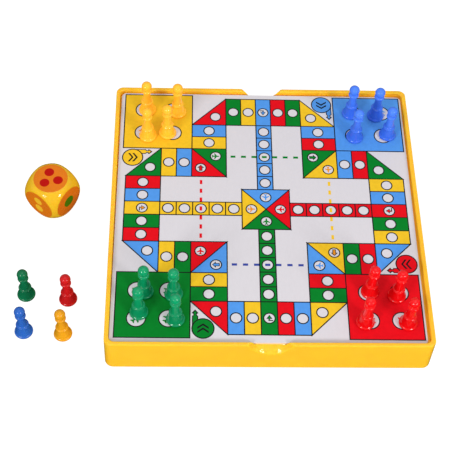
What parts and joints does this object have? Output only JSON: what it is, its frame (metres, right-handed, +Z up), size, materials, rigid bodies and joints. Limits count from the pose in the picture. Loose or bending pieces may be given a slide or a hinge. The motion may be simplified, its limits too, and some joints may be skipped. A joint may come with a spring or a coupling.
{
  "type": "ludo board",
  "caption": "Ludo board: a printed card that lifts out of a shallow plastic tray with finger scoops, with bell-shaped pawns in its corner squares and a rounded die beside it.",
  "frame": {"origin": "centre of the tray's underside, on the table", "axes": "+Z up, +X to the right and +Y to the back as the picture shows the board, with the die and the spare pawns at -X"},
  "size_m": [0.2542, 0.1976, 0.0527],
  "materials": {
    "tray_plastic": "moulded, glossy",
    "greyboard": "cut edge",
    "coated_paper": "coated, satin",
    "back_paper": "plain",
    "ink_lines": "printed ink, satin",
    "ink_blue": "printed ink, satin",
    "ink_yellow": "printed ink, satin",
    "ink_green": "printed ink, satin",
    "ink_red": "printed ink, satin",
    "ink_orange": "printed ink, satin",
    "ink_navy": "printed ink, satin",
    "pawn_blue": "moulded, slightly see-through",
    "pawn_yellow": "moulded, slightly see-through",
    "pawn_green": "moulded, slightly see-through",
    "pawn_red": "moulded, slightly see-through",
    "die_plastic": "glossy",
    "die_disc_ink": "glossy",
    "die_pip_blue": "glossy",
    "die_pip_yellow": "glossy",
    "die_pip_green": "glossy",
    "die_pip_red": "glossy"
  },
  "bodies": {
    "tray": {"tray": "tray_plastic"},
    "card": {"card_core": "greyboard", "card_top_sheet": "coated_paper", "card_back_sheet": "back_paper", "print_lines": "ink_lines", "print_blue": "ink_blue", "print_yellow": "ink_yellow", "print_green": "ink_green", "print_red": "ink_red", "print_orange": "ink_orange", "print_navy": "ink_navy"},
    "pawn_blue_1": {"pawn_blue_1": "pawn_blue"},
    "pawn_blue_2": {"pawn_blue_2": "pawn_blue"},
    "pawn_blue_3": {"pawn_blue_3": "pawn_blue"},
    "pawn_blue_4": {"pawn_blue_4": "pawn_blue"},
    "pawn_yellow_1": {"pawn_yellow_1": "pawn_yellow"},
    "pawn_yellow_2": {"pawn_yellow_2": "pawn_yellow"},
    "pawn_yellow_3": {"pawn_yellow_3": "pawn_yellow"},
    "pawn_yellow_4": {"pawn_yellow_4": "pawn_yellow"},
    "pawn_green_1": {"pawn_green_1": "pawn_green"},
    "pawn_green_2": {"pawn_green_2": "pawn_green"},
    "pawn_green_3": {"pawn_green_3": "pawn_green"},
    "pawn_green_4": {"pawn_green_4": "pawn_green"},
    "pawn_red_1": {"pawn_red_1": "pawn_red"},
    "pawn_red_2": {"pawn_red_2": "pawn_red"},
    "pawn_red_3": {"pawn_red_3": "pawn_red"},
    "pawn_red_4": {"pawn_red_4": "pawn_red"},
    "pawn_blue_spare": {"pawn_blue_spare": "pawn_blue"},
    "pawn_yellow_spare": {"pawn_yellow_spare": "pawn_yellow"},
    "pawn_green_spare": {"pawn_green_spare": "pawn_green"},
    "pawn_red_spare": {"pawn_red_spare": "pawn_red"},
    "die": {"die_body": "die_plastic", "die_discs": "die_disc_ink", "die_pips_blue": "die_pip_blue", "die_pips_yellow": "die_pip_yellow", "die_pips_green": "die_pip_green", "die_pips_red": "die_pip_red"}
  },
  "joints": [
    {"name": "card_lift", "type": "slide", "parent": "tray", "child": "card", "axis": [0, 0, 1], "range_m": [0, 0.06]},
    {"name": "pawn_blue_1_lift", "type": "slide", "parent": "card", "child": "pawn_blue_1", "axis": [0, 0, 1], "range_m": [0, 0.04]},
    {"name": "pawn_blue_2_lift", "type": "slide", "parent": "card", "child": "pawn_blue_2", "axis": [0, 0, 1], "range_m": [0, 0.04]},
    {"name": "pawn_blue_3_lift", "type": "slide", "parent": "card", "child": "pawn_blue_3", "axis": [0, 0, 1], "range_m": [0, 0.04]},
    {"name": "pawn_blue_4_lift", "type": "slide", "parent": "card", "child": "pawn_blue_4", "axis": [0, 0, 1], "range_m": [0, 0.04]},
    {"name": "pawn_yellow_1_lift", "type": "slide", "parent": "card", "child": "pawn_yellow_1", "axis": [0, 0, 1], "range_m": [0, 0.04]},
    {"name": "pawn_yellow_2_lift", "type": "slide", "parent": "card", "child": "pawn_yellow_2", "axis": [0, 0, 1], "range_m": [0, 0.04]},
    {"name": "pawn_yellow_3_lift", "type": "slide", "parent": "card", "child": "pawn_yellow_3", "axis": [0, 0, 1], "range_m": [0, 0.04]},
    {"name": "pawn_yellow_4_lift", "type": "slide", "parent": "card", "child": "pawn_yellow_4", "axis": [0, 0, 1], "range_m": [0, 0.04]},
    {"name": "pawn_green_1_lift", "type": "slide", "parent": "card", "child": "pawn_green_1", "axis": [0, 0, 1], "range_m": [0, 0.04]},
    {"name": "pawn_green_2_lift", "type": "slide", "parent": "card", "child": "pawn_green_2", "axis": [0, 0, 1], "range_m": [0, 0.04]},
    {"name": "pawn_green_3_lift", "type": "slide", "parent": "card", "child": "pawn_green_3", "axis": [0, 0, 1], "range_m": [0, 0.04]},
    {"name": "pawn_green_4_lift", "type": "slide", "parent": "card", "child": "pawn_green_4", "axis": [0, 0, 1], "range_m": [0, 0.04]},
    {"name": "pawn_red_1_lift", "type": "slide", "parent": "card", "child": "pawn_red_1", "axis": [0, 0, 1], "range_m": [0, 0.04]},
    {"name": "pawn_red_2_lift", "type": "slide", "parent": "card", "child": "pawn_red_2", "axis": [0, 0, 1], "range_m": [0, 0.04]},
    {"name": "pawn_red_3_lift", "type": "slide", "parent": "card", "child": "pawn_red_3", "axis": [0, 0, 1], "range_m": [0, 0.04]},
    {"name": "pawn_red_4_lift", "type": "slide", "parent": "card", "child": "pawn_red_4", "axis": [0, 0, 1], "range_m": [0, 0.04]},
    {"name": "pawn_blue_spare_lift", "type": "slide", "parent": "tray", "child": "pawn_blue_spare", "axis": [0, 0, 1], "range_m": [0, 0.04]},
    {"name": "pawn_yellow_spare_lift", "type": "slide", "parent": "tray", "child": "pawn_yellow_spare", "axis": [0, 0, 1], "range_m": [0, 0.04]},
    {"name": "pawn_green_spare_lift", "type": "slide", "parent": "tray", "child": "pawn_green_spare", "axis": [0, 0, 1], "range_m": [0, 0.04]},
    {"name": "pawn_red_spare_lift", "type": "slide", "parent": "tray", "child": "pawn_red_spare", "axis": [0, 0, 1], "range_m": [0, 0.04]},
    {"name": "die_lift", "type": "slide", "parent": "tray", "child": "die", "axis": [0, 0, 1], "range_m": [0, 0.06]}
  ]
}
